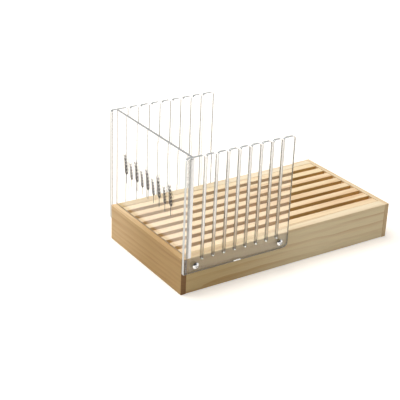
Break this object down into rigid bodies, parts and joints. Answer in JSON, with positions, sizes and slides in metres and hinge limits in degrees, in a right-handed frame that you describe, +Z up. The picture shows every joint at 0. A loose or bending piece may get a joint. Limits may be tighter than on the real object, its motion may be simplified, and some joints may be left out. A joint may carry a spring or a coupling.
{
  "type": "bread slicer guide",
  "caption": "Pine crumb box with a lift-out slatted grate and a clear slotted guide at one end that keeps a bread knife square for even slices.",
  "frame": {"origin": "centre of the footprint, on the surface that the box stands on", "axes": "+X along the box away from the guide, +Y to the rear, +Z up"},
  "size_m": [0.33, 0.1884, 0.18],
  "materials": {
    "pine_board": "planed and sanded pine, unvarnished, long grain lines",
    "pine_slat": "planed pine, paler than the boards, edges eased",
    "birch_plywood": "sanded thin plywood",
    "beech_dowel": "turned dowel rod, hidden in the joints",
    "clear_acrylic": "clear, polished faces and edges",
    "steel_brad": "bright wire",
    "chrome_screw": "bright plated"
  },
  "bodies": {
    "box": {"front_side_board": "pine_board", "rear_side_board": "pine_board", "left_end_board": "pine_board", "right_end_board": "pine_board", "bottom_panel": "birch_plywood", "corner_dowels": "beech_dowel", "left_ledge": "pine_board", "right_ledge": "pine_board", "ledge_brads": "steel_brad", "front_slotted_plate": "clear_acrylic", "rear_slotted_plate": "clear_acrylic", "end_plate": "clear_acrylic", "front_guide_screws": "chrome_screw", "rear_guide_screws": "chrome_screw"},
    "grate": {"slat_1": "pine_slat", "slat_2": "pine_slat", "slat_3": "pine_slat", "slat_4": "pine_slat", "slat_5": "pine_slat", "slat_6": "pine_slat", "slat_7": "pine_slat", "slat_8": "pine_slat", "left_batten": "pine_board", "middle_batten": "pine_board", "right_batten": "pine_board", "batten_brads": "steel_brad"}
  },
  "joints": [
    {"name": "grate_lift", "type": "slide", "parent": "box", "child": "grate", "axis": [0, 0, 1], "range_m": [0, 0.06]}
  ]
}
